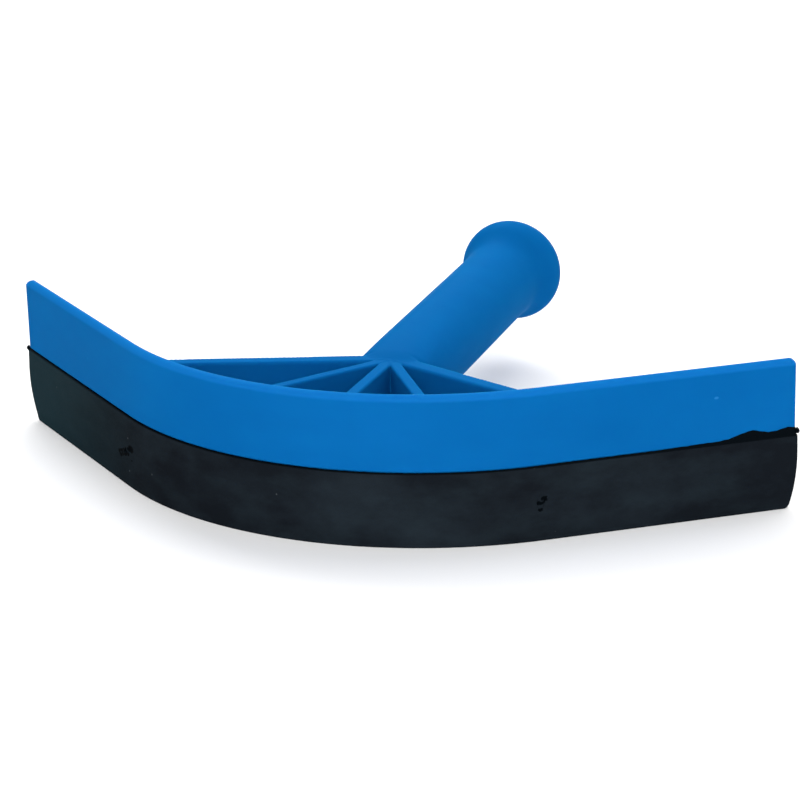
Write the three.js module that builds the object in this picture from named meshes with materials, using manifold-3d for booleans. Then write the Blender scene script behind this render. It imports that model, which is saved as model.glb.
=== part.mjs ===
// Curved squeegee scraper: one blue moulding (band, fan, tube handle) and a rubber lip.
// Millimetres, +Z up. The lip's lower edge rests on z = 0 and the handle points to +Y.
import * as THREE from 'three';
import { mergeVertices } from 'three/addons/utils/BufferGeometryUtils.js';
import Module from 'manifold-3d';

const wasm = await Module();
wasm.setup();

// ---------- driving dimensions ----------
const GAP = 0.3;                 // clearance between the two mouldings

// Plan of the band: a bend with a straight arm at each end. Offsets are measured outwards
// from the seam line, which is where the lip's front face begins.
const R = 122.4;
const BEND = 0.6702;             // half angle of the bend, radians
const ARM = 88.7;
const HALF = R * BEND + ARM;     // half of the developed length
const BEND_STEPS = 34;

const TOP = 52.1;                // height of the band's upper edge
const SEAM = 25.4;               // height of the lip's upper edge
const BAND_FRONT = -0.35;
const BAND_BACK_TOP = -3.55;
const BAND_BACK_LOW = -3.95;
const EDGE_FRONT = 2.4;          // rounding of the band's upper edges
const EDGE_BACK = 0.6;
const EDGE_LOW = 0.7;            // and of its lower front edge
const CORNER = 1.7;              // rounding of the band's upper corners

// Tongue below the band, hidden in the lip, with a bead along its back.
const TONGUE_TOP = SEAM + 4;
const TONGUE_FRONT = -1.15;
const TONGUE_BACK = -3.05;
const TONGUE_FOOT = 11.5;
const TONGUE_SHORT = 2.0;        // it stops this far from each end
const BEAD = 0.45;
const BEAD_HEIGHT = 3.0;

const LIP_OVER = 0.8;            // the lip runs past each end of the band
const LIP_BACK = -4.5;
const LIP_FOOT_FRONT = 0.8;      // the lip's front face leans outwards to its foot
const LIP_FOOT_BACK = -1.8;
const LIP_TAPER = 15.2;          // height where the lip's back starts to taper
const LIP_CHAMFER = 0.35;
const TRIM_TOP = 20.0;           // the lip's ends are cut in below this height,
const TRIM_LEFT = 6.6;           // by this much at the foot
const TRIM_RIGHT = 2.5;
const TRIM_ROUND = 2.0;

// Fan: two flanges and three ribs between the band and the handle.
const DECK = 35.0;               // height of the fan's upper side at y = 0
const DECK_RISE = 0.034;         // and its slope towards the handle
const FOOT_UNDER = 27.3;         // underside of flanges and ribs where they meet the band
const HUB_UNDER = 16.5;          // and at the hub
const HUB_Y = 79.0;
const FLANGE_OUT = [84.1, 0.3605];   // edges in plan: y = a - b |x|
const FLANGE_IN = [78.3, 0.3457];
const FLANGE_FOOT_Y = 48.5;
const FLANGE_REACH = 106.0;
const RIB_HUB_X = 1.16;          // side rib's centre line at the hub
const RIB_SLOPE = 0.7636;        // and its x per y
const RIB_HALF = 2.0;
const RIB_FOOT_Y = 16.0;
const MID_RIB_HALF = 2.15;
const MID_RIB_FOOT_Y = 4.0;

// Handle, turned about an axis that rises towards its end.
const AXIS_Y = 85.0;
const AXIS_Z = 27.55;
const TILT = 0.0686;
const TUBE_R0 = 15.05;
const TUBE_R1 = 14.67;
const NOSE = 10.0;
const RAMP_FOOT = [74.0, 37.6];  // y and z where the flat on the tube's top starts at the ribs
const RAMP_SLOPE = 0.31;
const FLARE_AT = 98.0;
const KNOB_AT = 115.2;
const KNOB_R = 19.3;
const KNOB_AXIAL = 13.6;
const KNOB_FROM = Math.asin(-0.42);  // the flare runs into the knob at this angle
const KNOB_TO = Math.asin(0.70);     // and the knob ends in a flat face at this one
const KNOB_END = KNOB_AT + KNOB_AXIAL * Math.sin(KNOB_TO);
const BORE_MOUTH = 11.6;
const BORE_CHAMFER = 1.6;
const BORE_END_R = 10.9;
const BORE_END = 4.0;
const ROUND = 72;                // facets round the handle

// ---------- helpers ----------
function toManifold(geometry) {
  const bare = geometry.clone();
  bare.deleteAttribute('normal');
  bare.deleteAttribute('uv');
  const merged = mergeVertices(bare, 1e-4);
  return new wasm.Manifold(new wasm.Mesh({
    numProp: 3,
    vertProperties: new Float32Array(merged.attributes.position.array),
    triVerts: new Uint32Array(wholeFaces(merged.index.array)),
  }));
}

// Triangles that haven't collapsed to a line on a turned body's axis.
function wholeFaces(index) {
  const out = [];
  for (let i = 0; i < index.length; i += 3) {
    const [a, b, c] = index.slice(i, i + 3);
    if (a !== b && b !== c && c !== a) {
      out.push(a, b, c);
    }
  }
  return out;
}

function toGeometry(solid) {
  const mesh = solid.getMesh();
  const g = new THREE.BufferGeometry();
  g.setAttribute('position', new THREE.BufferAttribute(new Float32Array(mesh.vertProperties), 3));
  g.setIndex(new THREE.BufferAttribute(new Uint32Array(mesh.triVerts), 1));
  g.computeVertexNormals();
  return g;
}

function outline(points) {
  return new THREE.Shape(points.map(([a, b]) => new THREE.Vector2(a, b)));
}

// Plan position of the point at developed length s from the middle, at an outward offset.
function planPoint(s, off) {
  const turn = Math.min(Math.abs(s) / R, BEND);
  const past = Math.abs(s) - R * turn;
  const x = (R + off) * Math.sin(turn) + past * Math.cos(turn);
  const y = R - (R + off) * Math.cos(turn) + past * Math.sin(turn);
  return [Math.sign(s) * x, y];
}

function stations(halfLength) {
  const bend = Array.from({ length: BEND_STEPS + 1 }, (_, i) => R * BEND * (1 - (2 * i) / BEND_STEPS));
  return [halfLength, ...bend, -halfLength];
}

// A section drawn in [offset, z], swept along the plan.
function sweep(section, halfLength) {
  const stops = stations(halfLength);
  const steps = stops.length - 1;
  const options = { depth: steps, steps, bevelEnabled: false, curveSegments: 4 };
  const g = new THREE.ExtrudeGeometry(section, options);
  const p = g.attributes.position;
  for (let i = 0; i < p.count; i += 1) {
    const [x, y] = planPoint(stops[Math.round(p.getZ(i))], p.getX(i));
    p.setXYZ(i, x, y, p.getY(i));
  }
  return toManifold(g);
}

// A plan outline raised between a lower and an upper side, each a height as a function of y.
function column(plan, lower, upper) {
  const g = new THREE.ExtrudeGeometry(plan, { depth: 1, bevelEnabled: false });
  const p = g.attributes.position;
  for (let i = 0; i < p.count; i += 1) {
    const side = p.getZ(i) > 0.5 ? upper : lower;
    p.setZ(i, side(p.getY(i)));
  }
  return toManifold(g);
}

// A cutter across one arm, drawn in [distance past the band's end, z]. side is -1 or 1.
function endCutter(shape, side) {
  const reach = 12;
  const g = new THREE.ExtrudeGeometry(shape, { depth: 2 * reach, bevelEnabled: false, curveSegments: 6 });
  g.translate(0, 0, -reach);
  const along = new THREE.Vector3(side * Math.cos(BEND), Math.sin(BEND), 0);
  const up = new THREE.Vector3(0, 0, 1);
  g.applyMatrix4(new THREE.Matrix4().makeBasis(along, up, along.clone().cross(up)));
  const [x, y] = planPoint(side * HALF, 0);
  g.translate(x, y, 0);
  return toManifold(g);
}

// A profile drawn in [radius, distance along the axis], turned about the handle's axis.
function turned(profile) {
  const g = new THREE.LatheGeometry(profile, ROUND);
  g.rotateX(TILT);
  g.translate(0, AXIS_Y, AXIS_Z);
  return toManifold(g);
}

// ---------- blue moulding ----------
function band() {
  const section = new THREE.Shape();
  section.moveTo(BAND_BACK_LOW, SEAM + GAP);
  section.lineTo(BAND_FRONT - EDGE_LOW, SEAM + GAP);
  section.absarc(BAND_FRONT - EDGE_LOW, SEAM + GAP + EDGE_LOW, EDGE_LOW, -Math.PI / 2, 0, false);
  section.absarc(BAND_FRONT - EDGE_FRONT, TOP - EDGE_FRONT, EDGE_FRONT, 0, Math.PI / 2, false);
  section.absarc(BAND_BACK_TOP + EDGE_BACK, TOP - EDGE_BACK, EDGE_BACK, Math.PI / 2, Math.PI, false);
  const corner = new THREE.Shape();
  corner.moveTo(CORNER, TOP + CORNER);
  corner.lineTo(-CORNER, TOP + CORNER);
  corner.absarc(-CORNER, TOP - CORNER, CORNER, Math.PI / 2, 0, true);
  corner.lineTo(CORNER, TOP - CORNER);
  return sweep(section, HALF).subtract(endCutter(corner, -1)).subtract(endCutter(corner, 1));
}

// The tongue's section, or with a clearance the channel that it lies in.
function tongueSection(clearance) {
  const front = TONGUE_FRONT + clearance;
  const back = TONGUE_BACK - clearance;
  const foot = TONGUE_FOOT - clearance;
  const beadTop = TONGUE_FOOT + BEAD_HEIGHT + clearance;
  return outline([
    [front, TONGUE_TOP],
    [back, TONGUE_TOP],
    [back, beadTop],
    [back - BEAD, beadTop - BEAD],
    [back - BEAD, foot + BEAD],
    [back, foot],
    [front, foot],
  ]);
}

function deck(y) {
  return DECK + DECK_RISE * y;
}

// Underside of a flange or rib, falling from the band at footY to the hub.
function underside(footY) {
  return (y) => FOOT_UNDER + ((HUB_UNDER - FOOT_UNDER) * (y - footY)) / (HUB_Y - footY);
}

function flange(side) {
  const x = side * FLANGE_REACH;
  const edgeY = ([a, b]) => a - b * FLANGE_REACH;
  const plan = outline([
    [0, FLANGE_IN[0]],
    [x, edgeY(FLANGE_IN)],
    [x, edgeY(FLANGE_OUT)],
    [0, FLANGE_OUT[0]],
  ]);
  return column(plan, underside(FLANGE_FOOT_Y), deck);
}

function sideRib(side) {
  const half = RIB_HALF * Math.hypot(1, RIB_SLOPE);
  const reach = HUB_Y - RIB_FOOT_Y / 2;
  const hub = side * RIB_HUB_X;
  const foot = side * (RIB_HUB_X + RIB_SLOPE * reach);
  const plan = outline([
    [hub - half, HUB_Y],
    [foot - half, HUB_Y - reach],
    [foot + half, HUB_Y - reach],
    [hub + half, HUB_Y],
  ]);
  return column(plan, underside(RIB_FOOT_Y), deck);
}

function middleRib() {
  const plan = outline([
    [-MID_RIB_HALF, 0],
    [MID_RIB_HALF, 0],
    [MID_RIB_HALF, HUB_Y],
    [-MID_RIB_HALF, HUB_Y],
  ]);
  return column(plan, underside(MID_RIB_FOOT_Y), deck);
}

// The fan, cut off along the middle of the band's thickness.
function fan() {
  const middle = (BAND_FRONT + BAND_BACK_TOP) / 2;
  const line = stations(HALF - 1).map((s) => planPoint(s, middle));
  const behind = column(outline([...line, [-R, R], [R, R]]), () => 0, () => TOP);
  const walls = [-1, 1].map((side) => flange(side).add(sideRib(side)));
  return walls[0].add(walls[1]).add(middleRib()).intersect(behind);
}

// The space above the flat that slopes from the ribs up onto the tube's top.
function aboveRamp() {
  const half = TUBE_R0 + 1;
  const [footY, footZ] = RAMP_FOOT;
  const plan = outline([[-half, footY - 10], [half, footY - 10], [half, footY + 30], [-half, footY + 30]]);
  const slope = (y) => footZ + RAMP_SLOPE * (y - footY);
  return column(plan, slope, (y) => slope(y) + TUBE_R0);
}

function handle() {
  const knobR = KNOB_R * Math.cos(KNOB_FROM);
  const knobAt = KNOB_AT + KNOB_AXIAL * Math.sin(KNOB_FROM);
  const slope = (-KNOB_R * Math.tan(KNOB_FROM)) / KNOB_AXIAL;
  const run = (knobAt - FLARE_AT) / 3;
  const path = new THREE.Path();
  path.absellipse(0, 0, TUBE_R0, NOSE, -Math.PI / 2, 0, false, 0);
  path.lineTo(TUBE_R1, FLARE_AT);
  path.bezierCurveTo(TUBE_R1, FLARE_AT + 1.5 * run, knobR - run * slope, knobAt - run, knobR, knobAt);
  path.absellipse(0, KNOB_AT, KNOB_R, KNOB_AXIAL, KNOB_FROM, KNOB_TO, false, 0);
  path.lineTo(0, KNOB_END);
  return turned(path.getPoints(7)).subtract(aboveRamp());
}

function bore() {
  const path = new THREE.Path();
  path.absellipse(0, BORE_END + 5, BORE_END_R, 5, -Math.PI / 2, 0, false, 0);
  path.lineTo(BORE_MOUTH, KNOB_END - BORE_CHAMFER);
  path.lineTo(BORE_MOUTH + 2 * BORE_CHAMFER, KNOB_END + BORE_CHAMFER);
  path.lineTo(0, KNOB_END + BORE_CHAMFER);
  return turned(path.getPoints(5));
}

function scraperBody() {
  const tongue = sweep(tongueSection(0), HALF - TONGUE_SHORT);
  return band().add(tongue).add(fan()).add(handle()).subtract(bore());
}

// ---------- rubber lip ----------
function lipTrim(side, depth) {
  const cut = new THREE.Shape();
  cut.moveTo(LIP_OVER, TRIM_TOP);
  cut.quadraticCurveTo(LIP_OVER, TRIM_TOP / 2, -depth + TRIM_ROUND / 4, TRIM_ROUND);
  cut.quadraticCurveTo(-depth, 0, -depth - TRIM_ROUND, 0);
  cut.lineTo(-depth - TRIM_ROUND, -TRIM_ROUND);
  cut.lineTo(LIP_OVER + TRIM_ROUND, -TRIM_ROUND);
  cut.lineTo(LIP_OVER + TRIM_ROUND, TRIM_TOP);
  return endCutter(cut, side);
}

function rubberLip() {
  const section = outline([
    [LIP_FOOT_FRONT - LIP_CHAMFER, 0],
    [LIP_FOOT_FRONT, LIP_CHAMFER],
    [0, SEAM - LIP_CHAMFER],
    [-LIP_CHAMFER, SEAM],
    [LIP_BACK + LIP_CHAMFER, SEAM],
    [LIP_BACK, SEAM - LIP_CHAMFER],
    [LIP_BACK, LIP_TAPER],
    [LIP_FOOT_BACK, LIP_CHAMFER],
    [LIP_FOOT_BACK + LIP_CHAMFER, 0],
  ]);
  const blank = sweep(section, HALF + LIP_OVER);
  const channel = sweep(tongueSection(GAP), HALF - TONGUE_SHORT + GAP);
  return blank.subtract(channel).subtract(lipTrim(-1, TRIM_LEFT)).subtract(lipTrim(1, TRIM_RIGHT));
}

// ---------- assembly ----------
function piece(name, solid, look) {
  const mesh = new THREE.Mesh(toGeometry(solid), new THREE.MeshStandardMaterial(look));
  mesh.name = name;
  return mesh;
}

const scraper = new THREE.Group();
scraper.add(piece('scraper_body', scraperBody(), { color: 0x0c70bc, roughness: 0.45, metalness: 0 }));
scraper.add(piece('rubber_lip', rubberLip(), { color: 0x1b1f29, roughness: 0.7, metalness: 0 }));

// Stand the lip's foot on the ground, with the origin below the middle of the whole.
const box = new THREE.Box3().setFromObject(scraper);
const middle = box.getCenter(new THREE.Vector3());
scraper.position.set(-middle.x, -middle.y, -box.min.z);

export default scraper;
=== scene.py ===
"""Curved squeegee scraper: a satin blue moulding with a rubber lip, in Blender 4.5.

The blue moulding is a signed distance field, meshed on a fine grid and settled onto the field's
surface, so that every edge and inside corner has its rounding. The lip is one swept section with
the flash, gate marks and trimmed ends of moulded rubber. Shapes are worked out in millimetres in
the design frame: the origin is below the middle of the seam line, +X along the band, +Y towards
the handle and +Z up.
"""
import math

import bpy
import numpy as np
from mathutils import Matrix, Vector
from mathutils.geometry import tessellate_polygon


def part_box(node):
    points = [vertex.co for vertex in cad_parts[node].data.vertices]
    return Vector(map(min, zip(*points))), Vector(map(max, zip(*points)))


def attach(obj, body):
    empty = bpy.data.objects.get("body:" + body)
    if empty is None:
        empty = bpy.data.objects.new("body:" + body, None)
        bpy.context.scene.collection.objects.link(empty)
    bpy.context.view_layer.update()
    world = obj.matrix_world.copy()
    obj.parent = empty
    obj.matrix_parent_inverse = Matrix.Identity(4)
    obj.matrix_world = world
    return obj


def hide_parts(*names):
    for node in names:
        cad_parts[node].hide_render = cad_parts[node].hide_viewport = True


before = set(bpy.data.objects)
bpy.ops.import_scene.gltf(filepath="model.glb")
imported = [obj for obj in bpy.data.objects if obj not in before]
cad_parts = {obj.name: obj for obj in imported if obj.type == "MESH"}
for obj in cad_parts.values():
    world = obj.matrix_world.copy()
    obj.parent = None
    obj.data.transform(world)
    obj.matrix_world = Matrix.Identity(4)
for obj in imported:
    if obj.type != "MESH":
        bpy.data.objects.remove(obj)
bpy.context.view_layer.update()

MM = 0.001

# ---------- plan of the band: a bend with a straight arm at each end ----------
R = 122.4
BEND = 0.6702                   # half the bend's angle
ARM = 88.7
HALF = R * BEND + ARM           # half the band's developed length

# ---------- blue moulding ----------
TOP = 52.1
SEAM = 25.4                     # height of the seam between the blue and the rubber
GAP = 0.3
BAND_FRONT = -0.35
BAND_BACK_TOP = -3.55
BAND_BACK_LOW = -3.95
EDGE_FRONT = 2.4
EDGE_BACK = 0.6
EDGE_LOW = 1.0
EDGE_END = 0.45
CORNER = 1.7
TONGUE_FRONT = -1.15
TONGUE_BACK = -3.05
TONGUE_FOOT = 11.5
TONGUE_ROOT = 2.0               # how far the tongue runs up into the band
TONGUE_SHORT = 2.0              # how far it stops before the band's end

# The fan's flat top, its underside at the band and at the hub, and its walls. FLANGE_OUT and
# FLANGE_IN are the lines of a flange's two sides: y at the middle, and its fall along x.
DECK = 35.0
DECK_RISE = 0.034
FOOT_UNDER = 27.3
HUB_UNDER = 16.5
HUB_Y = 79.0
FLANGE_OUT = (84.1, 0.3605)
FLANGE_IN = (78.3, 0.3457)
FLANGE_FOOT_Y = 48.5
RIB_HUB_X = 1.16
RIB_SLOPE = 0.7636
RIB_HALF = 2.0
RIB_FOOT_Y = 16.0
MID_RIB_HALF = 2.15
MID_RIB_FOOT_Y = 4.0
DRAFT = 0.008
DECK_EDGE = 0.8
FLANGE_EDGE_OUT = 0.3
FLANGE_EDGE_IN = 1.2
WALL_FILLET = 0.5
BAND_FILLET = 0.8
HUB_FILLET = 1.5

# The handle is turned about an axis through AXIS_Y and AXIS_Z that rises by TILT. Distances along
# it start at the tube's rounded nose, inside the hub.
AXIS_Y = 85.0
AXIS_Z = 27.55
TILT = 0.0686
TUBE_R0 = 15.05
TUBE_R1 = 14.67
NOSE = 10.0
RAMP_FOOT = (74.0, 37.7)        # y and z where the flat on the tube's top meets the ribs
RAMP_SLOPE = 0.22
RAMP_EDGE = 4.0
FLARE_AT = 98.0
KNOB_AT = 115.2
KNOB_R = 19.3
KNOB_AXIAL = 13.6
KNOB_FROM = math.asin(-0.42)    # the flare runs into the knob's ellipse at this angle
KNOB_TO = math.asin(0.70)       # and the flat end cuts it at this one
KNOB_END = KNOB_AT + KNOB_AXIAL * math.sin(KNOB_TO)
KNOB_EDGE = 1.6
BORE_MOUTH = 11.6
BORE_END_R = 10.9
BORE_END = 4.0
BORE_NOSE = 5.0
BORE_EDGE = 1.2

# ---------- meshing of the blue moulding ----------
CELL = 0.5
GRID_MARGIN = 1.5
BLOCK = 6                       # cells along each side of a block of the grid
BLOCK_SLACK = 2.5               # how far the field may be from a true distance
BLOCKS_AT_ONCE = 1500
RELAX_ROUNDS = 3
KEPT_SHARE = 0.27               # share of the triangles that is kept, to stay under 200,000

# ---------- rubber lip ----------
LIP_OVER = 0.8
LIP_BACK = -4.5
LIP_FOOT_FRONT = 0.8
LIP_FOOT_BACK = -1.8
LIP_TAPER = 15.2                # below this height the back slopes in to the foot
LIP_EDGE = 0.35
SHOULDER = 0.35
FILM = 0.17                     # thickness of the flash over the band
FILM_FOOT = 0.05
SINK = 0.01                     # how far the flash's inner face lies inside the band
KEY_GAP = 0.1                   # gap between the lip and the band's tongue
BACK_FLASH = 0.55               # mean height of the flash behind the band
END_FLASH = 0.12                # and of the flash past the band's ends
WAVINESS = 0.05
LIP_STEP = 0.7                  # from one section to the next
MARK_STEP = 0.2                 # and the same near a mark
FRONT_STEP = 0.5                # from point to point up the front of a section
BACK_STEP = 0.8                 # and down its back
EDGE_STEP = 0.3                 # from an edge's arc to the next point
TRIM_TOP = 20.0                 # the ends are trimmed from this height down to the foot
TRIM_LEFT = 6.6
TRIM_RIGHT = 2.5
TRIM_ROUND = 2.0
TRIM_RUN = 12.0                 # length at each end over which the sections lean into the trim

# The design frame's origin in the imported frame, from the front of the lip's foot.
SHIFT = np.array([0.0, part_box("rubber_lip")[0].y / MM + LIP_FOOT_FRONT, 0.0])


# ---------- shape helpers ----------
def plan(x, y):
    """Offset outwards from the seam line in plan, and developed distance from its middle."""
    side = np.abs(x)
    arm_x = side - R * math.sin(BEND)
    arm_y = y - R * (1 - math.cos(BEND))
    past = arm_x * math.cos(BEND) + arm_y * math.sin(BEND)
    arm_off = arm_x * math.sin(BEND) - arm_y * math.cos(BEND)
    on_arm = past > 0
    off = np.where(on_arm, arm_off, np.hypot(side, R - y) - R)
    along = np.where(on_arm, R * BEND + past, R * np.arctan2(side, R - y))
    return off, np.copysign(along, x)


def plan_point(along, off):
    """Where the point at that developed distance and offset lies."""
    turn = np.minimum(np.abs(along) / R, BEND)
    past = np.abs(along) - R * turn
    x = (R + off) * np.sin(turn) + past * np.cos(turn)
    y = R - (R + off) * np.cos(turn) + past * np.sin(turn)
    return np.copysign(x, along), y


def round_max(a, b, radius):
    """What lies in both solids, with their shared edge rounded."""
    corner = np.hypot(np.maximum(a + radius, 0), np.maximum(b + radius, 0))
    return np.minimum(np.maximum(a, b), -radius) + corner


def round_min(a, b, radius):
    """What lies in either solid, with a fillet between them."""
    corner = np.hypot(np.maximum(radius - a, 0), np.maximum(radius - b, 0))
    return np.maximum(np.minimum(a, b), radius) - corner


# ---------- blue moulding as a distance field ----------
def band(off, along, z):
    """The bowed upright wall, from just above the seam to its top."""
    low = SEAM + GAP
    lean = (BAND_BACK_TOP - BAND_BACK_LOW) / (TOP - low)
    front = off - BAND_FRONT
    back = BAND_BACK_LOW + lean * (z - low) - off
    over, past = z - TOP, np.abs(along) - HALF
    edge = round_max(over, past, CORNER)
    # The edges are rounder along the top than down the ends.
    rise, run = np.maximum(over + CORNER, 1e-6), np.maximum(past + CORNER, 0)
    upward = np.arctan2(rise, run) / (math.pi / 2)
    front = round_max(front, edge, EDGE_END + (EDGE_FRONT - EDGE_END) * upward)
    back = round_max(back, edge, EDGE_END + (EDGE_BACK - EDGE_END) * upward)
    return round_max(np.maximum(front, back), low - z, EDGE_LOW)


def tongue(off, along, z):
    """The thin key under the band, which lies in the lip's slot."""
    sides = np.maximum(off - TONGUE_FRONT, TONGUE_BACK - off)
    ends = np.abs(along) - (HALF - TONGUE_SHORT)
    return np.maximum(np.maximum(sides, ends), np.maximum(TONGUE_FOOT - z, z - SEAM - TONGUE_ROOT))


def wall(sides, foot_y, y, z):
    """A flange or rib: sides with draft, each with its edge's rounding, and a sloping underside."""
    deck = DECK + DECK_RISE * y
    under = FOOT_UNDER + (HUB_UNDER - FOOT_UNDER) * (y - foot_y) / (HUB_Y - foot_y)
    solid = z - deck
    for distance, radius in sides:
        solid = round_max(solid, distance - DRAFT * (deck - z), radius)
    return round_max(solid, under - z, DECK_EDGE)


def rib(across, foot_y, y, z):
    """A wall from the hub to the band, from each point's distance outside its two sides."""
    return wall(((np.maximum(across, y - HUB_Y), DECK_EDGE),), foot_y, y, z)


def fan(x, y, z, off):
    """The two flanges and three ribs, cut off inside the band."""
    side = np.abs(x)
    centre = RIB_HUB_X + RIB_SLOPE * (HUB_Y - y)
    across = np.abs(side - centre) / math.hypot(1, RIB_SLOPE) - RIB_HALF
    past = (y + FLANGE_OUT[1] * side - FLANGE_OUT[0]) / math.hypot(1, FLANGE_OUT[1])
    short = (FLANGE_IN[0] - FLANGE_IN[1] * side - y) / math.hypot(1, FLANGE_IN[1])
    flange = wall(((past, FLANGE_EDGE_OUT), (short, FLANGE_EDGE_IN)), FLANGE_FOOT_Y, y, z)
    side_rib = rib(across, RIB_FOOT_Y, y, z)
    middle_rib = rib(side - MID_RIB_HALF, MID_RIB_FOOT_Y, y, z)
    walls = round_min(round_min(flange, side_rib, WALL_FILLET), middle_rib, WALL_FILLET)
    return np.maximum(walls, off - (BAND_FRONT + BAND_BACK_TOP) / 2)


def grip_profile():
    """Radius of the tube, flare and knob against distance along the axis."""
    knob_r = KNOB_R * math.cos(KNOB_FROM)
    knob_at = KNOB_AT + KNOB_AXIAL * math.sin(KNOB_FROM)
    slope = -KNOB_R * math.tan(KNOB_FROM) / KNOB_AXIAL
    run = (knob_at - FLARE_AT) / 3
    t = np.linspace(0, 1, 60)[:, None]
    ends = np.array([
        [FLARE_AT, TUBE_R1],
        [FLARE_AT + 1.5 * run, TUBE_R1],
        [knob_at - run, knob_r - run * slope],
        [knob_at, knob_r],
    ])
    weights = np.hstack([(1 - t) ** 3, 3 * t * (1 - t) ** 2, 3 * t * t * (1 - t), t ** 3])
    beyond = 0.35               # the curve goes on past the flat end, which cuts it
    angle = np.linspace(KNOB_FROM, KNOB_TO + beyond, 90)[1:, None]
    knob = np.hstack([KNOB_AT + KNOB_AXIAL * np.sin(angle), KNOB_R * np.cos(angle)])
    return np.vstack([[[0, TUBE_R0]], weights @ ends, knob])


GRIP = grip_profile()


def grip_axes(x, y, z):
    """Distance along the handle's axis, and distance from it."""
    along = (y - AXIS_Y) * math.cos(TILT) + (z - AXIS_Z) * math.sin(TILT)
    height = (z - AXIS_Z) * math.cos(TILT) - (y - AXIS_Y) * math.sin(TILT)
    return along, np.hypot(x, height)


def ellipsoid_end(along, radius, r, length):
    """Distance to the rounded end of a turned body, for distances before its full radius."""
    scaled = np.hypot(radius / r, along / length)
    return scaled * (scaled - 1) / np.maximum(np.hypot(radius / r ** 2, along / length ** 2), 1e-6)


def handle(along, radius):
    """The turned tube with its flare and knob, as a solid."""
    wide = np.interp(along, GRIP[:, 0], GRIP[:, 1])
    step = 0.1
    ahead = np.interp(along + step, GRIP[:, 0], GRIP[:, 1])
    side = (radius - wide) / np.hypot(1, (ahead - wide) / step)
    nose = ellipsoid_end(along, radius, TUBE_R0, NOSE)
    return round_max(np.where(along < 0, nose, side), along - KNOB_END, KNOB_EDGE)


def bore(along, radius):
    """The blind hole up the handle from its flat end."""
    start = BORE_END + BORE_NOSE
    wide = np.interp(along, [start, KNOB_END], [BORE_END_R, BORE_MOUTH])
    nose = ellipsoid_end(along - start, radius, BORE_END_R, BORE_NOSE)
    return np.where(along < start, nose, radius - wide)


def body_field(points):
    """Distance outside the blue moulding, less than 0 inside it."""
    x, y, z = points.T
    off, s = plan(x, y)
    along, radius = grip_axes(x, y, z)
    ramp = (z - RAMP_FOOT[1] - RAMP_SLOPE * (y - RAMP_FOOT[0])) / math.hypot(1, RAMP_SLOPE)
    grip = round_max(handle(along, radius), ramp, RAMP_EDGE)
    walls = round_min(fan(x, y, z, off), grip, HUB_FILLET)
    solid = round_min(walls, band(off, s, z), BAND_FILLET)
    solid = np.minimum(solid, tongue(off, s, z))
    return round_max(solid, -bore(along, radius), BORE_EDGE)


# ---------- meshing a field ----------
def sampled(field, low, high, cell):
    """The field on a grid, exact near its surface and only right in sign elsewhere."""
    reach = BLOCK * cell * math.sqrt(3) / 2 + BLOCK_SLACK
    blocks = np.ceil((high - low) / (BLOCK * cell)).astype(int)
    corners = np.indices(blocks).reshape(3, -1).T
    coarse = field((corners + 0.5) * BLOCK * cell + low)
    values = coarse.reshape(blocks)
    for axis in range(3):
        values = np.repeat(values, BLOCK, axis)
    values = np.pad(values, ((0, 1),) * 3, mode="edge").astype(np.float32)
    starts = corners[np.abs(coarse) < reach] * BLOCK
    offsets = np.indices((BLOCK + 1,) * 3).reshape(3, -1).T
    for group in np.array_split(starts, max(1, len(starts) // BLOCKS_AT_ONCE)):
        nodes = (group[:, None] + offsets).reshape(-1, 3)
        values[tuple(nodes.T)] = field(nodes * cell + low)
    return values


def surface_nets(values, low, cell):
    """One vertex in each cell that the surface crosses, and a quad round each crossed edge."""
    inside = values < 0
    quads, crossings = [], []
    for axis in range(3):
        others = [a for a in range(3) if a != axis]
        ahead = np.moveaxis(inside, axis, 0)
        crossed = np.nonzero(np.moveaxis(ahead[:-1] != ahead[1:], 0, axis))
        node = np.stack(crossed, 1)
        node = node[(node[:, others] > 0).all(1)]
        end = node.copy()
        end[:, axis] += 1
        a, b = values[tuple(node.T)], values[tuple(end.T)]
        share = np.zeros((len(node), 3))
        share[:, axis] = a / (a - b)
        ring = []
        for du, dv in ((-1, -1), (0, -1), (0, 0), (-1, 0)):
            cells = node.copy()
            cells[:, others[0]] += du
            cells[:, others[1]] += dv
            ring.append(np.ravel_multi_index(tuple(cells.T), values.shape))
        ring = np.stack(ring, 1)
        outward = (a < 0) ^ (axis == 1)
        quads.append(np.where(outward[:, None], ring, ring[:, ::-1]))
        crossings.append(node + share)
    quads = np.vstack(quads)
    points = np.repeat(np.vstack(crossings), 4, 0)
    _, index = np.unique(quads, return_inverse=True)
    index = index.ravel()
    count = np.bincount(index)
    vertices = np.stack([np.bincount(index, points[:, k]) / count for k in range(3)], 1)
    return vertices * cell + low, index.reshape(quads.shape)


def gradient(field, points, step=0.02):
    """The field's slope along each axis, from points a step to each side."""
    out = np.empty_like(points)
    for k in range(3):
        shift = np.zeros(3)
        shift[k] = step
        out[:, k] = (field(points + shift) - field(points - shift)) / (2 * step)
    return out


def settle(field, points, rounds=2):
    """Moves points along the gradient onto the field's surface."""
    for _ in range(rounds):
        slope = gradient(field, points)
        points = points - field(points)[:, None] * slope / (slope ** 2).sum(1, keepdims=True)
    return points


def relax(points, quads, share=0.5):
    """Moves each point part of the way to the middle of its neighbours."""
    total = np.zeros_like(points)
    count = np.zeros(len(points))
    for a, b in ((0, 1), (1, 2), (2, 3), (3, 0)):
        for one, other in ((quads[:, a], quads[:, b]), (quads[:, b], quads[:, a])):
            count += np.bincount(one, minlength=len(points))
            for k in range(3):
                total[:, k] += np.bincount(one, points[other, k], len(points))
    return points + share * (total / count[:, None] - points)


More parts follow.
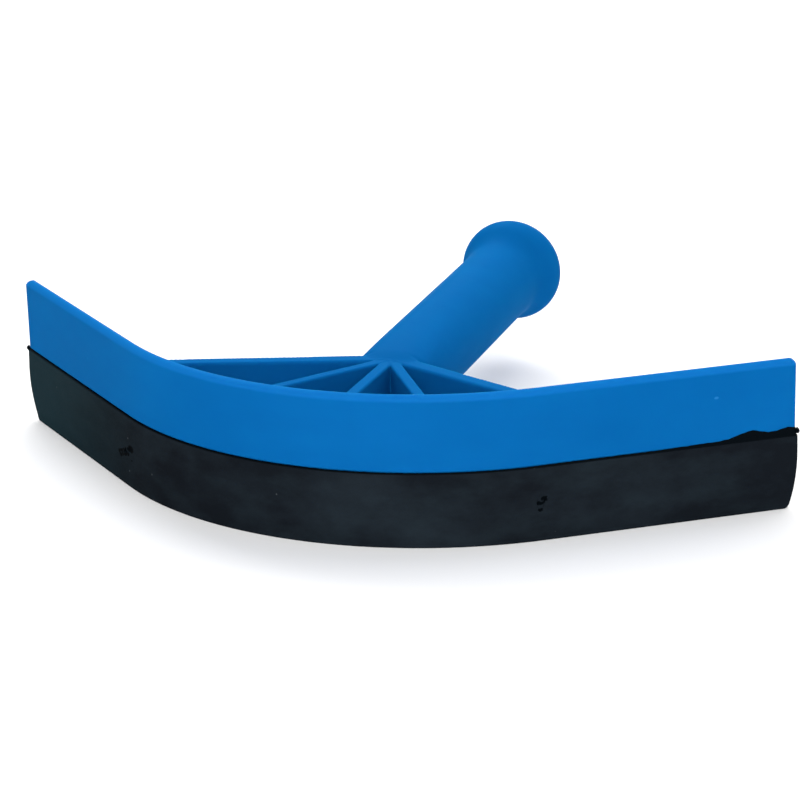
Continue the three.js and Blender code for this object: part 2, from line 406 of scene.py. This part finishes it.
def mesh_from(name, points, faces):
    """A smooth-shaded mesh, from points in design-frame millimetres."""
    mesh = bpy.data.meshes.new(name)
    mesh.from_pydata(((points + SHIFT) * MM).tolist(), [], [tuple(f) for f in faces])
    mesh.validate()
    mesh.polygons.foreach_set("use_smooth", [True] * len(mesh.polygons))
    mesh.update()
    return mesh


def add_piece(name, mesh, node, material):
    """Puts a mesh in the scene in the place of a CAD node."""
    piece = bpy.data.objects.new(name, mesh)
    bpy.context.scene.collection.objects.link(piece)
    mesh.materials.append(material)
    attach(piece, "root")
    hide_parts(node)
    return piece


def thinned(mesh, ratio):
    """The mesh with fewer triangles where it is flat."""
    holder = bpy.data.objects.new("holder", mesh)
    bpy.context.scene.collection.objects.link(holder)
    thin = holder.modifiers.new("thin", "DECIMATE")
    thin.ratio = ratio
    seen = holder.evaluated_get(bpy.context.evaluated_depsgraph_get())
    made = bpy.data.meshes.new_from_object(seen)
    bpy.data.objects.remove(holder)
    return made


def points_of(mesh):
    """A mesh's vertices in design-frame millimetres."""
    flat = np.empty(len(mesh.vertices) * 3, np.float32)
    mesh.vertices.foreach_get("co", flat)
    return flat.reshape(-1, 3).astype(float) / MM - SHIFT


def body_mesh():
    """The blue moulding's mesh, with its points and normals from the field itself."""
    cell = CELL
    low, high = (np.array(corner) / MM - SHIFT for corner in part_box("scraper_body"))
    low, high = low - GRID_MARGIN, high + GRID_MARGIN
    points, quads = surface_nets(sampled(body_field, low, high, cell), low, cell)
    for _ in range(RELAX_ROUNDS):
        points = settle(body_field, relax(points, quads), 1)
    mesh = mesh_from("body", settle(body_field, points), quads)
    mesh = thinned(mesh, KEPT_SHARE)
    at = settle(body_field, points_of(mesh), 1)
    mesh.vertices.foreach_set("co", ((at + SHIFT) * MM).astype(np.float32).ravel())
    slope = gradient(body_field, at)
    slope /= np.linalg.norm(slope, axis=1, keepdims=True)
    mesh.normals_split_custom_set_from_vertices(slope.tolist())
    return mesh


# ---------- rubber lip as a swept section ----------
# How high the flash rose over the band's front, at developed distances from the middle.
FLASH_AT = (-171, -168, -150, -60, 0, 70, 85, 120, 137, 144, 147, 152, 155.5, 161, 164, 168, 171)
FLASH_RISE = (0.7, 0.45, 0.3, 0.3, 0.3, 0.3, 0.65, 0.7, 1.1, 1.25, 1.6, 3.1, 3.7, 2.4, 2.5, 3.4, 3.0)
FLASH_BEAD = (168.2, 28.6)
BEAD_R = 0.75
# The gates, where the mould was filled: developed distance and height.
LEFT_GATE = (-84.0, 12.7)
RIGHT_GATE = (81.3, 13.2)
RIGHT_GROOVE = (1.25, 2.1)      # radii of the right gate's groove, along and up
# The ridges and the pit of the torn left gate: how far each stands out, its place from the gate
# along and up, how much its height is squashed, and its width.
SCAR = (
    (0.42, -1.2, -0.6, 1.6, 0.8),
    (0.4, 0.6, 0.7, 1.3, 0.7),
    (0.35, 2.0, 1.2, 1.0, 0.55),
    (0.3, -2.4, -0.9, 1.0, 0.5),
    (-0.5, 0.0, -0.1, 1.0, 0.5),
)
# Painted shade in the torn gates' ridges, pits and grooves, as dark marks: developed distance,
# height, and how far each reaches along and up.
GATE_SHADE_MARKS = (
    (-80.5, 14.3, 2.6, 1.5),
    (-82.4, 13.6, 1.8, 0.9),
    (-84.3, 13.0, 1.9, 1.0),
    (-86.2, 12.3, 1.8, 0.9),
    (-88.1, 11.6, 1.7, 0.9),
    (-90.0, 11.0, 1.5, 0.8),
    (-83.0, 11.9, 1.6, 0.8),
    (-85.0, 11.3, 1.7, 0.9),
    (-87.0, 10.7, 1.7, 0.9),
    (-88.8, 10.1, 1.6, 0.9),
    (-79.8, 10.2, 1.0, 0.7),
    (82.4, 14.3, 1.0, 1.4),
    (80.9, 13.2, 1.4, 0.9),
    (80.9, 10.8, 1.1, 0.7),
)
# Where the sections stand closer together: developed distance, and how far to each side.
CLOSE_SECTIONS = (
    (LEFT_GATE[0], 5),
    (RIGHT_GATE[0], 3.5),
    (157, 12),
)
# Flash squeezed out round the band's lower corners: developed distance, offset, height, radii
# and the seed of its outline.
NIBS = (
    (HALF + 0.6, -0.8, SEAM + 1.3, (1.1, 0.9, 0.8), 1.0),
    (HALF + 0.6, -0.3, SEAM + 1.8, (0.7, 0.7, 1.0), 2.0),
    (-HALF - 0.9, -0.7, SEAM, (1.1, 0.7, 0.7), 3.0),
    (-HALF - 0.8, -0.2, SEAM + 0.6, (0.7, 0.6, 0.9), 4.0),
)


def ripple(along, seed, *lengths):
    """A repeatable wander about zero, from a few sines."""
    waves = [
        np.sin(2 * math.pi * along / length + seed * (k + 1.7))
        for k, length in enumerate(lengths)
    ]
    return sum(waves) / len(lengths)


def stations():
    """Developed distances where the lip's section is placed, closer together near its marks."""
    end = HALF + LIP_OVER
    joint = HALF - TONGUE_SHORT
    apart = 0.02                # between the two sections at a step in the section's shape
    plain = np.arange(-end, end, LIP_STEP)
    plain = plain[np.abs(plain) < end - LIP_EDGE]
    close = [np.arange(at - reach, at + reach, MARK_STEP) for at, reach in CLOSE_SECTIONS]
    steps = np.array([joint - apart, joint + apart, HALF - apart, HALF + apart])
    edge = end - LIP_EDGE * (1 - np.sin(np.linspace(0, math.pi / 2, 6)))
    extra = np.concatenate([steps, -steps, edge, -edge])
    return np.unique(np.round(np.concatenate([plain, extra, *close]), 3))


def corner(cx, cz, r, start, stop, count=5):
    """Points on an arc between two angles in degrees."""
    turn = np.radians(np.linspace(start, stop, count))
    return np.stack([cx + r * np.cos(turn), cz + r * np.sin(turn)], 1)


def line(a, b, step):
    """Points on a straight line, about a step apart."""
    count = max(2, int(round(math.dist(a, b) / step)) + 1)
    t = np.linspace(0, 1, count)[:, None]
    return np.array(a) * (1 - t) + np.array(b) * t


def lip_front():
    """The front of the section, from the foot up to the band."""
    low = (LIP_FOOT_FRONT, LIP_EDGE + EDGE_STEP)
    high = (0, SEAM - SHOULDER - EDGE_STEP)
    return [
        corner(LIP_FOOT_FRONT - LIP_EDGE, LIP_EDGE, LIP_EDGE, -90, 0),
        line(low, high, FRONT_STEP),
        corner(-SHOULDER, SEAM - SHOULDER, SHOULDER, 0, 60),
    ]


def lip_back():
    """The back of the section, from the band down to the foot."""
    high = (LIP_BACK, SEAM - SHOULDER - EDGE_STEP)
    below_taper = (LIP_BACK + 0.1, LIP_TAPER - 0.6)
    low = (LIP_FOOT_BACK, LIP_EDGE + EDGE_STEP)
    return [
        corner(LIP_BACK + SHOULDER, SEAM - SHOULDER, SHOULDER, 120, 180),
        line(high, (LIP_BACK, LIP_TAPER), BACK_STEP),
        line(below_taper, low, BACK_STEP),
        corner(LIP_FOOT_BACK + LIP_EDGE, LIP_EDGE, LIP_EDGE, 180, 270),
    ]


def lip_section(flash, back_flash, cased):
    """The section as offsets and heights. cased is True where the band and tongue lie in it."""
    top = SEAM + GAP - FILM_FOOT
    floor = TONGUE_FOOT - KEY_GAP if cased else top - 2 * SINK
    # The flash thins as it rises over the band's front.
    film = [(BAND_FRONT + FILM, SEAM + FILM_FOOT)]
    film += [
        (BAND_FRONT + FILM * (1 - 0.25 * t), SEAM + FILM_FOOT + (flash - FILM_FOOT) * t)
        for t in np.linspace(0.1, 0.9, 9)
    ]
    film += [
        (BAND_FRONT + FILM * 0.5, SEAM + flash),
        (BAND_FRONT - SINK, SEAM + flash),
    ]
    slot = [
        (BAND_FRONT - 2 * SINK, top),
        (TONGUE_FRONT + KEY_GAP, top),
        (TONGUE_FRONT + KEY_GAP, floor),
        (TONGUE_BACK - KEY_GAP, floor),
        (TONGUE_BACK - KEY_GAP, top),
        (BAND_BACK_LOW + 2 * SINK, top),
    ]
    back_film = [
        (BAND_BACK_LOW + SINK, SEAM + back_flash),
        (BAND_BACK_LOW - FILM * 0.6, SEAM + back_flash - FILM_FOOT),
        (BAND_BACK_LOW - FILM, SEAM + FILM_FOOT),
    ]
    return np.vstack([*lip_front(), film, slot, back_film, *lip_back()])


def curved(a, b, c):
    """Points on the curve from a to c that b pulls towards itself."""
    t = np.linspace(0, 1, 40)[:, None]
    return (1 - t) ** 2 * np.array(a) + 2 * t * (1 - t) * np.array(b) + t ** 2 * np.array(c)


def end_reach(z, trim):
    """How far past the band's end the lip reaches at each height."""
    heel = (-trim + TRIM_ROUND / 4, TRIM_ROUND)
    upper = curved((LIP_OVER, TRIM_TOP), (LIP_OVER, TRIM_TOP / 2), heel)
    foot = curved(heel, (-trim, 0), (-trim - TRIM_ROUND, 0))
    curve = np.vstack([upper, foot[1:]])[::-1]
    return np.interp(z, curve[:, 1], curve[:, 0])


def bump(d, width):
    """1 at no distance, falling smoothly to 0."""
    return np.exp(-(d / width) ** 2)


def gate_scar(ds, dz):
    """A torn gate: ragged ridges round a pit."""
    return sum(
        out * bump(np.hypot(ds - along, dz * squash - up), width)
        for out, along, up, squash, width in SCAR
    )


def gate_ring(ds, dz):
    """A cut gate: an oval groove round a low nub."""
    groove = np.hypot(ds / RIGHT_GROOVE[0], dz / RIGHT_GROOVE[1]) - 1
    return 0.25 * bump(np.hypot(ds - 0.2, dz - 0.3), 0.7) - 0.35 * bump(groove, 0.28)


def trimmed(s, off, z):
    """The ends: trimmed in towards the foot, with rounded upright edges."""
    end = HALF + LIP_OVER
    start = HALF - TRIM_RUN
    lead = np.clip((np.abs(s[:, :1]) - (end - LIP_EDGE)) / LIP_EDGE, 0, 1)
    trim = np.where(s < 0, end_reach(z, TRIM_LEFT), end_reach(z, TRIM_RIGHT))
    squeeze = np.maximum(np.abs(s) - start, 0) / (end - start)
    moved = np.copysign(start + squeeze * (HALF + trim - start), s)
    inset = LIP_EDGE * (1 - np.sqrt(1 - lead ** 2))
    middle = (off.max(1, keepdims=True) + off.min(1, keepdims=True)) / 2
    half = (off.max(1, keepdims=True) - off.min(1, keepdims=True)) / 2
    return np.where(np.abs(s) > start, moved, s), middle + (off - middle) * (1 - inset / half)


def marked(s, off, z):
    """Offsets with the gates' marks and waviness on the front, and the flash's bead."""
    # The front face, clear of its edges.
    front = (off > BAND_FRONT + 0.05) & (z > 0.8) & (z < SEAM - 0.2)
    relief = gate_scar(s - LEFT_GATE[0], z - LEFT_GATE[1])
    relief = relief + gate_ring(s - RIGHT_GATE[0], z - RIGHT_GATE[1])
    relief = relief + WAVINESS * ripple(s + 0.7 * z, 3, 47, 23, 12)
    off = np.where(front, off + relief, off)
    # The outside of the flash over the band.
    film = (off > BAND_FRONT + 0.02) & (z > SEAM + 0.15) & (np.abs(s) < HALF)
    bead = BEAD_R * bump(np.hypot(s - FLASH_BEAD[0], z - FLASH_BEAD[1]), BEAD_R)
    return np.where(film, off + bead + 0.08 * np.abs(ripple(s, 4, 3.1, 1.7)), off)


def sweep_faces(count, around):
    """Quads that join each section to the next."""
    i, j = np.meshgrid(np.arange(count - 1), np.arange(around), indexing="ij")
    k = (j + 1) % around
    near, far = i * around, (i + 1) * around
    quads = np.stack([near + j, near + k, far + k, far + j], -1).reshape(-1, 4)
    return [tuple(quad) for quad in quads.tolist()]


def end_caps(sections):
    """Triangles that close the sweep's first and last sections."""
    count, around = sections.shape[:2]
    faces = []
    for at, turn in ((0, 1), (count - 1, -1)):
        outline = [Vector((*point, 0)) for point in sections[at]]
        for triangle in tessellate_polygon([outline]):
            faces.append(tuple(at * around + v for v in triangle[::turn]))
    return faces


def lip_mesh():
    """The swept lip, as points and faces."""
    along = stations()
    flash = np.interp(along, FLASH_AT, FLASH_RISE) + 0.1 * ripple(along, 2, 9.3, 5.1, 2.9)
    back_flash = BACK_FLASH + 0.2 * ripple(along, 5, 13, 6.1, 3.3)
    past = np.abs(along) > HALF
    flash = np.where(past, END_FLASH, flash)
    back_flash = np.where(past, END_FLASH, back_flash)
    cased = np.abs(along) < HALF - TONGUE_SHORT
    sections = np.array([lip_section(f, b, c) for f, b, c in zip(flash, back_flash, cased)])
    off, z = sections[..., 0], sections[..., 1]
    s, off = trimmed(np.repeat(along[:, None], off.shape[1], 1), off, z)
    x, y = plan_point(s, marked(s, off, z))
    points = np.stack([x, y, z], -1).reshape(-1, 3)
    return points, sweep_faces(*s.shape) + end_caps(sections)


def ball(across, down):
    """A round ball of radius 1, as points and faces."""
    points = [(0, 0, 1)]
    for a in range(1, down):
        reach, height = math.sin(math.pi * a / down), math.cos(math.pi * a / down)
        for b in range(across):
            turn = 2 * math.pi * b / across
            points.append((reach * math.cos(turn), reach * math.sin(turn), height))
    points.append((0, 0, -1))
    last = len(points) - 1
    base = last - across
    faces = [(0, 1 + b, 1 + (b + 1) % across) for b in range(across)]
    for top in range(1, base, across):
        for b in range(across):
            c = (b + 1) % across
            faces.append((top + b, top + across + b, top + across + c, top + c))
    faces += [(last, base + (b + 1) % across, base + b) for b in range(across)]
    return np.array(points), faces


def droplet(centre, radii, seed):
    """A small lump of flash: a squashed ball with a wandering radius."""
    points, faces = ball(20, 12)
    wander = 1 + 0.12 * np.sin(3 * points[:, 0] + seed) * np.sin(4 * points[:, 2] + 2 * seed)
    return np.array(centre) + points * wander[:, None] * np.array(radii), faces


def whole_lip():
    """The lip's mesh, with the lumps of flash at its ends."""
    points, faces = lip_mesh()
    for along, off, z, radii, seed in NIBS:
        x, y = plan_point(np.array(along), np.array(off))
        more, their_faces = droplet((float(x), float(y), z), radii, seed)
        base = len(points)
        points = np.vstack([points, more])
        faces += [tuple(base + v for v in face) for face in their_faces]
    return mesh_from("lip", points, faces)


# ---------- materials ----------
SPOT_CORE = 0.7                 # a spot is full out to this share of its reach


class Nodes:
    """Short calls for building a material's node tree."""

    def __init__(self, name):
        self.material = bpy.data.materials.new(name)
        self.material.use_nodes = True
        self.tree = self.material.node_tree
        self.shader = self.tree.nodes["Principled BSDF"]
        self.place = self.tree.nodes.new("ShaderNodeTexCoord").outputs["Object"]

    def link(self, value, socket):
        """Joins a socket, or sets a plain value."""
        if isinstance(value, bpy.types.NodeSocket):
            self.tree.links.new(value, socket)
        else:
            socket.default_value = value

    def noise(self, scale, detail=3.0, rough=0.5, stretch=(1, 1, 1)):
        """Noise from 0 to 1, with scale in features per metre."""
        mapping = self.tree.nodes.new("ShaderNodeMapping")
        mapping.inputs["Scale"].default_value = stretch
        self.link(self.place, mapping.inputs["Vector"])
        node = self.tree.nodes.new("ShaderNodeTexNoise")
        self.link(mapping.outputs["Vector"], node.inputs["Vector"])
        node.inputs["Scale"].default_value = scale
        node.inputs["Detail"].default_value = detail
        node.inputs["Roughness"].default_value = rough
        return node.outputs["Fac"]

    def specks(self, scale, size):
        """1 in sparse small spots and 0 elsewhere."""
        node = self.tree.nodes.new("ShaderNodeTexVoronoi")
        self.link(self.place, node.inputs["Vector"])
        node.inputs["Scale"].default_value = scale
        near = self.ramp(node.outputs["Distance"], size * 0.5, size, 1, 0)
        split = self.tree.nodes.new("ShaderNodeSeparateColor")
        self.link(node.outputs["Color"], split.inputs["Color"])
        # Three spots in ten are kept.
        return self.maths("MULTIPLY", near, self.ramp(split.outputs["Red"], 0.7, 0.72, 0, 1))

    def ramp(self, value, low, high, at_low, at_high):
        """at_low where the value is low or less, at_high where it is high or more."""
        node = self.tree.nodes.new("ShaderNodeMapRange")
        self.link(value, node.inputs["Value"])
        node.inputs["From Min"].default_value = low
        node.inputs["From Max"].default_value = high
        node.inputs["To Min"].default_value = at_low
        node.inputs["To Max"].default_value = at_high
        return node.outputs["Result"]

    def maths(self, operation, a, b):
        node = self.tree.nodes.new("ShaderNodeMath")
        node.operation = operation
        self.link(a, node.inputs[0])
        self.link(b, node.inputs[1])
        return node.outputs["Value"]

    def mix(self, share, a, b):
        """Colour a where the share is 0 and colour b where it is 1."""
        node = self.tree.nodes.new("ShaderNodeMix")
        node.data_type = "RGBA"
        self.link(share, node.inputs["Factor"])
        self.link(a, node.inputs["A"])
        self.link(b, node.inputs["B"])
        return node.outputs["Result"]

    def spot(self, centre, reach, ragged):
        """1 at a point and 0 past its reach, both in metres. ragged moves the outline."""
        wander = self.tree.nodes.new("ShaderNodeVectorMath")
        self.link(self.place, wander.inputs[0])
        self.link(ragged, wander.inputs[1])
        mapping = self.tree.nodes.new("ShaderNodeMapping")
        mapping.vector_type = "TEXTURE"
        mapping.inputs["Location"].default_value = centre
        mapping.inputs["Scale"].default_value = reach
        self.link(wander.outputs["Vector"], mapping.inputs["Vector"])
        length = self.tree.nodes.new("ShaderNodeVectorMath")
        length.operation = "LENGTH"
        self.link(mapping.outputs["Vector"], length.inputs[0])
        return self.ramp(length.outputs["Value"], SPOT_CORE, 1, 1, 0)

    def axes(self):
        """Position in metres, as X, Y and Z."""
        split = self.tree.nodes.new("ShaderNodeSeparateXYZ")
        self.link(self.place, split.inputs["Vector"])
        return split.outputs

    def bumps(self, *layers):
        """Chains bump layers, each a height from 0 to 1 and its depth in metres."""
        normal = None
        for value, depth in layers:
            node = self.tree.nodes.new("ShaderNodeBump")
            node.inputs["Distance"].default_value = depth
            self.link(value, node.inputs["Height"])
            if normal:
                self.link(normal, node.inputs["Normal"])
            normal = node.outputs["Normal"]
        self.link(normal, self.shader.inputs["Normal"])


def linear(*srgb):
    """A colour from its 0 to 255 sRGB numbers."""
    parts = [c / 255 for c in srgb]
    return (*[((c + 0.055) / 1.055) ** 2.4 if c > 0.04 else c / 12.92 for c in parts], 1)


BLUE = linear(5, 88, 150)
BLUE_CLOUD = linear(7, 93, 156)
BLUE_FLOW = linear(4, 81, 144)
BLUE_SPECK = linear(22, 109, 169)
# Colour of the painted highlight on the band's top edge.
BLUE_PAINTED_HIGHLIGHT = linear(14, 100, 169)
BLUE_NICK = linear(50, 130, 190)
BLACK = linear(17, 21, 26)
BLACK_BLOOM = linear(27, 34, 40)
BLACK_FLOW = linear(33, 44, 50)
# Painted light: the paler tone of the lip's left arm.
BLACK_LEFT_LIT = linear(28, 52, 59)
BLACK_SPECK = linear(70, 76, 80)
BLACK_FLASH = linear(6, 10, 14)
# Colour of the painted shade in the gates' torn rubber.
BLACK_GATE_SHADE = linear(4, 7, 10)
# A painted highlight on the band's rounded top edge, in metres: the heights where that starts and is
# full, and the Y where it starts to fade, and ends, so that the knob has none of it.
HIGHLIGHT_Z = ((TOP - 2.2) * MM, (TOP - 1.4) * MM)
HIGHLIGHT_Y = (0.03, 0.035)
# A small nick in the band's front: developed distance and height, and its reach in metres.
NICK_AT = (142.5, 42)
NICK_REACH = (0.001, 0.001, 0.0006)
# Painted light on the left arm, which catches more light and is paler: the X in metres where it is
# full and where it ends, and its share.
LIT_LEFT_X = (-0.13, -0.07)
LIT_LEFT_SHARE = 0.55
# How far the outlines of the painted shade at the gates wander, in metres.
RAGGED = {"X": 0.0006, "Y": 0.0006, "Z": 0.0003}


def front_point(along, z):
    """A point near the front face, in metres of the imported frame."""
    x, y = plan_point(np.array(along), np.array(0.0))
    return (np.array([float(x), float(y), z]) + SHIFT) * MM


def blue_plastic():
    """Satin polypropylene with faint cloudiness, flow lines and specks, and a painted highlight along
    the band's top edge.
    """
    m = Nodes("satin_blue_polypropylene")
    cloud = m.ramp(m.noise(22, 3), 0.35, 0.65, 0, 1)
    flow = m.ramp(m.noise(60, 4, 0.6, (0.25, 1, 1.6)), 0.3, 0.7, 0, 1)
    specks = m.specks(90, 0.05)
    base = m.mix(cloud, BLUE, BLUE_CLOUD)
    base = m.mix(m.maths("MULTIPLY", flow, 0.35), base, BLUE_FLOW)
    base = m.mix(m.maths("MULTIPLY", specks, 0.35), base, BLUE_SPECK)
    at = m.axes()
    # Painted highlight along the band's rounded top edge.
    highlight = m.ramp(at["Z"], *HIGHLIGHT_Z, 0, 1)
    highlight = m.maths("MULTIPLY", highlight, m.ramp(at["Y"], *HIGHLIGHT_Y, 1, 0))
    base = m.mix(highlight, base, BLUE_PAINTED_HIGHLIGHT)
    nick = m.spot(front_point(*NICK_AT), NICK_REACH, (0, 0, 0))
    base = m.mix(m.maths("MULTIPLY", nick, 0.5), base, BLUE_NICK)
    m.link(base, m.shader.inputs["Base Color"])
    grain = m.noise(2600, 3, 0.6)
    rough = m.ramp(m.maths("ADD", grain, cloud), 0.4, 1.5, 0.40, 0.52)
    m.link(rough, m.shader.inputs["Roughness"])
    m.shader.inputs["IOR"].default_value = 1.2
    m.shader.inputs["Specular IOR Level"].default_value = 0.008
    m.shader.inputs["Subsurface Weight"].default_value = 0.5
    m.shader.inputs["Subsurface Radius"].default_value = (0.4, 1.0, 1.2)
    m.shader.inputs["Subsurface Scale"].default_value = 0.0015
    m.bumps((grain, 0.00003), (m.noise(160, 2), 0.00006), (m.noise(35, 2), 0.0002))
    return m.material


def gate_shade(m):
    """Painted shade in the ridges, pits and grooves of the torn rubber left where the two gates were.
    """
    noise = m.noise(700, 2, 0.6)
    ragged = m.tree.nodes.new("ShaderNodeCombineXYZ")
    for axis, wander in RAGGED.items():
        m.link(m.ramp(noise, 0.3, 0.7, -wander, wander), ragged.inputs[axis])
    marks = 0.0
    for along, z, across, tall in GATE_SHADE_MARKS:
        reach = (across * MM, across * MM, tall * MM)
        mark = m.spot(front_point(along, z), reach, ragged.outputs["Vector"])
        marks = m.maths("MAXIMUM", marks, mark)
    return marks


def black_rubber():
    """Matt rubber with a patchy bloom and specks, painted light on the left arm and painted shade at
    the gates' marks.
    """
    m = Nodes("moulded_black_rubber")
    bloom = m.ramp(m.noise(45, 5, 0.62, (0.6, 0.6, 1)), 0.42, 0.72, 0, 1)
    flow = m.ramp(m.noise(110, 4, 0.6, (0.35, 0.35, 1)), 0.45, 0.75, 0, 1)
    specks = m.specks(160, 0.07)
    base = m.mix(bloom, BLACK, BLACK_BLOOM)
    base = m.mix(m.maths("MULTIPLY", flow, 0.3), base, BLACK_FLOW)
    at = m.axes()
    # Painted light: the left arm is paler where it catches more light.
    base = m.mix(m.ramp(at["X"], *LIT_LEFT_X, LIT_LEFT_SHARE, 0), base, BLACK_LEFT_LIT)
    base = m.mix(m.maths("MULTIPLY", specks, 0.6), base, BLACK_SPECK)
    # The flash over the seam is darker and smoother.
    flash = m.ramp(at["Z"], (SEAM - 0.25) * MM, (SEAM + 0.05) * MM, 0, 1)
    base = m.mix(flash, base, BLACK_FLASH)
    # Painted shade in the gates' ridges, pits and grooves.
    base = m.mix(gate_shade(m), base, BLACK_GATE_SHADE)
    m.link(base, m.shader.inputs["Base Color"])
    grain = m.noise(1900, 4, 0.65)
    rough = m.ramp(m.maths("ADD", grain, bloom), 0.3, 1.6, 0.50, 0.72)
    rough = m.maths("SUBTRACT", rough, m.maths("MULTIPLY", flash, 0.2))
    m.link(rough, m.shader.inputs["Roughness"])
    m.shader.inputs["IOR"].default_value = 1.25
    m.shader.inputs["Specular IOR Level"].default_value = 0.01
    m.bumps((grain, 0.00005), (m.noise(420, 3), 0.00006))
    return m.material


def floor_material():
    m = Nodes("white_floor")
    darker, lighter = (0.92, 0.92, 0.92, 1), (0.94, 0.94, 0.94, 1)
    m.link(m.mix(m.noise(3, 2), darker, lighter), m.shader.inputs["Base Color"])
    m.shader.inputs["Roughness"].default_value = 0.9
    return m.material


# ---------- scene ----------
# The camera looks at a point in the design frame from CAMERA_AWAY metres, at a turn to the right
# and a rise in radians.
CAMERA_TARGET = (18.592, 52.23, 30.0)
CAMERA_TURN = 0.39966
CAMERA_RISE = 0.34039
CAMERA_ROLL = -0.02594
CAMERA_AWAY = 1.032
LENS = 136.62
LENS_SHIFT = (-0.0125, 0.0129)
FLOOR_HALF = 6.0
WORLD_LIGHT = 0.3
SOFTBOXES = (
    # name, azimuth, elevation, distance, size, power
    ("front_high", 20, 38, 1.5, 0.7, 9.2),
    ("front_low", 15, 8, 1.5, 0.8, 10.5),
    ("front_top", 10, 65, 1.5, 1.2, 4.5),
    ("right_low", 45, 12, 1.5, 0.8, 2.5),
    ("behind", 180, 45, 1.6, 2.4, 28.0),
    ("behind_left", -140, 45, 1.5, 0.9, 9.8),
)


def towards(turn, rise):
    """The direction from the object at a turn to the right of the front, and a rise."""
    return Vector((math.sin(turn) * math.cos(rise), -math.cos(turn) * math.cos(rise), math.sin(rise)))


def camera():
    back = towards(CAMERA_TURN, CAMERA_RISE)
    right = Vector((math.cos(CAMERA_TURN), math.sin(CAMERA_TURN), 0))
    up = back.cross(right)
    across = math.cos(CAMERA_ROLL) * right + math.sin(CAMERA_ROLL) * up
    upright = math.cos(CAMERA_ROLL) * up - math.sin(CAMERA_ROLL) * right
    data = bpy.data.cameras.new("camera")
    data.sensor_width = 36
    data.lens = LENS
    data.shift_x, data.shift_y = LENS_SHIFT
    data.clip_start, data.clip_end = 0.05, 20
    cam = bpy.data.objects.new("camera", data)
    bpy.context.scene.collection.objects.link(cam)
    place = Matrix((across, upright, back)).transposed().to_4x4()
    place.translation = Vector((np.array(CAMERA_TARGET) + SHIFT) * MM) + CAMERA_AWAY * back
    cam.matrix_world = place
    bpy.context.scene.camera = cam


def softbox(name, azimuth, elevation, distance, size, power):
    """A round area light that faces the object. Azimuth 0 is in front and 90 to the right."""
    away = towards(math.radians(azimuth), math.radians(elevation))
    data = bpy.data.lights.new(name, "AREA")
    data.shape = "DISK"
    data.size = size
    data.energy = power
    light = bpy.data.objects.new(name, data)
    bpy.context.scene.collection.objects.link(light)
    light.location = away * distance
    light.rotation_mode = "QUATERNION"
    light.rotation_quaternion = away.to_track_quat("Z", "Y")


def floor_plane():
    """A wide level square under the object."""
    mesh = bpy.data.meshes.new("floor")
    corners = [(FLOOR_HALF * x, FLOOR_HALF * y, 0) for x, y in ((-1, -1), (1, -1), (1, 1), (-1, 1))]
    mesh.from_pydata(corners, [], [(0, 1, 2, 3)])
    mesh.materials.append(floor_material())
    floor = bpy.data.objects.new("floor", mesh)
    bpy.context.scene.collection.objects.link(floor)


def studio():
    floor_plane()
    world = bpy.data.worlds.new("studio")
    world.use_nodes = True
    background = world.node_tree.nodes["Background"]
    background.inputs["Color"].default_value = (1, 1, 1, 1)
    background.inputs["Strength"].default_value = WORLD_LIGHT
    bpy.context.scene.world = world
    for light in SOFTBOXES:
        softbox(*light)
    bpy.context.scene.view_settings.view_transform = "Standard"


camera()
studio()
add_piece("body", body_mesh(), "scraper_body", blue_plastic())
add_piece("lip", whole_lip(), "rubber_lip", black_rubber())
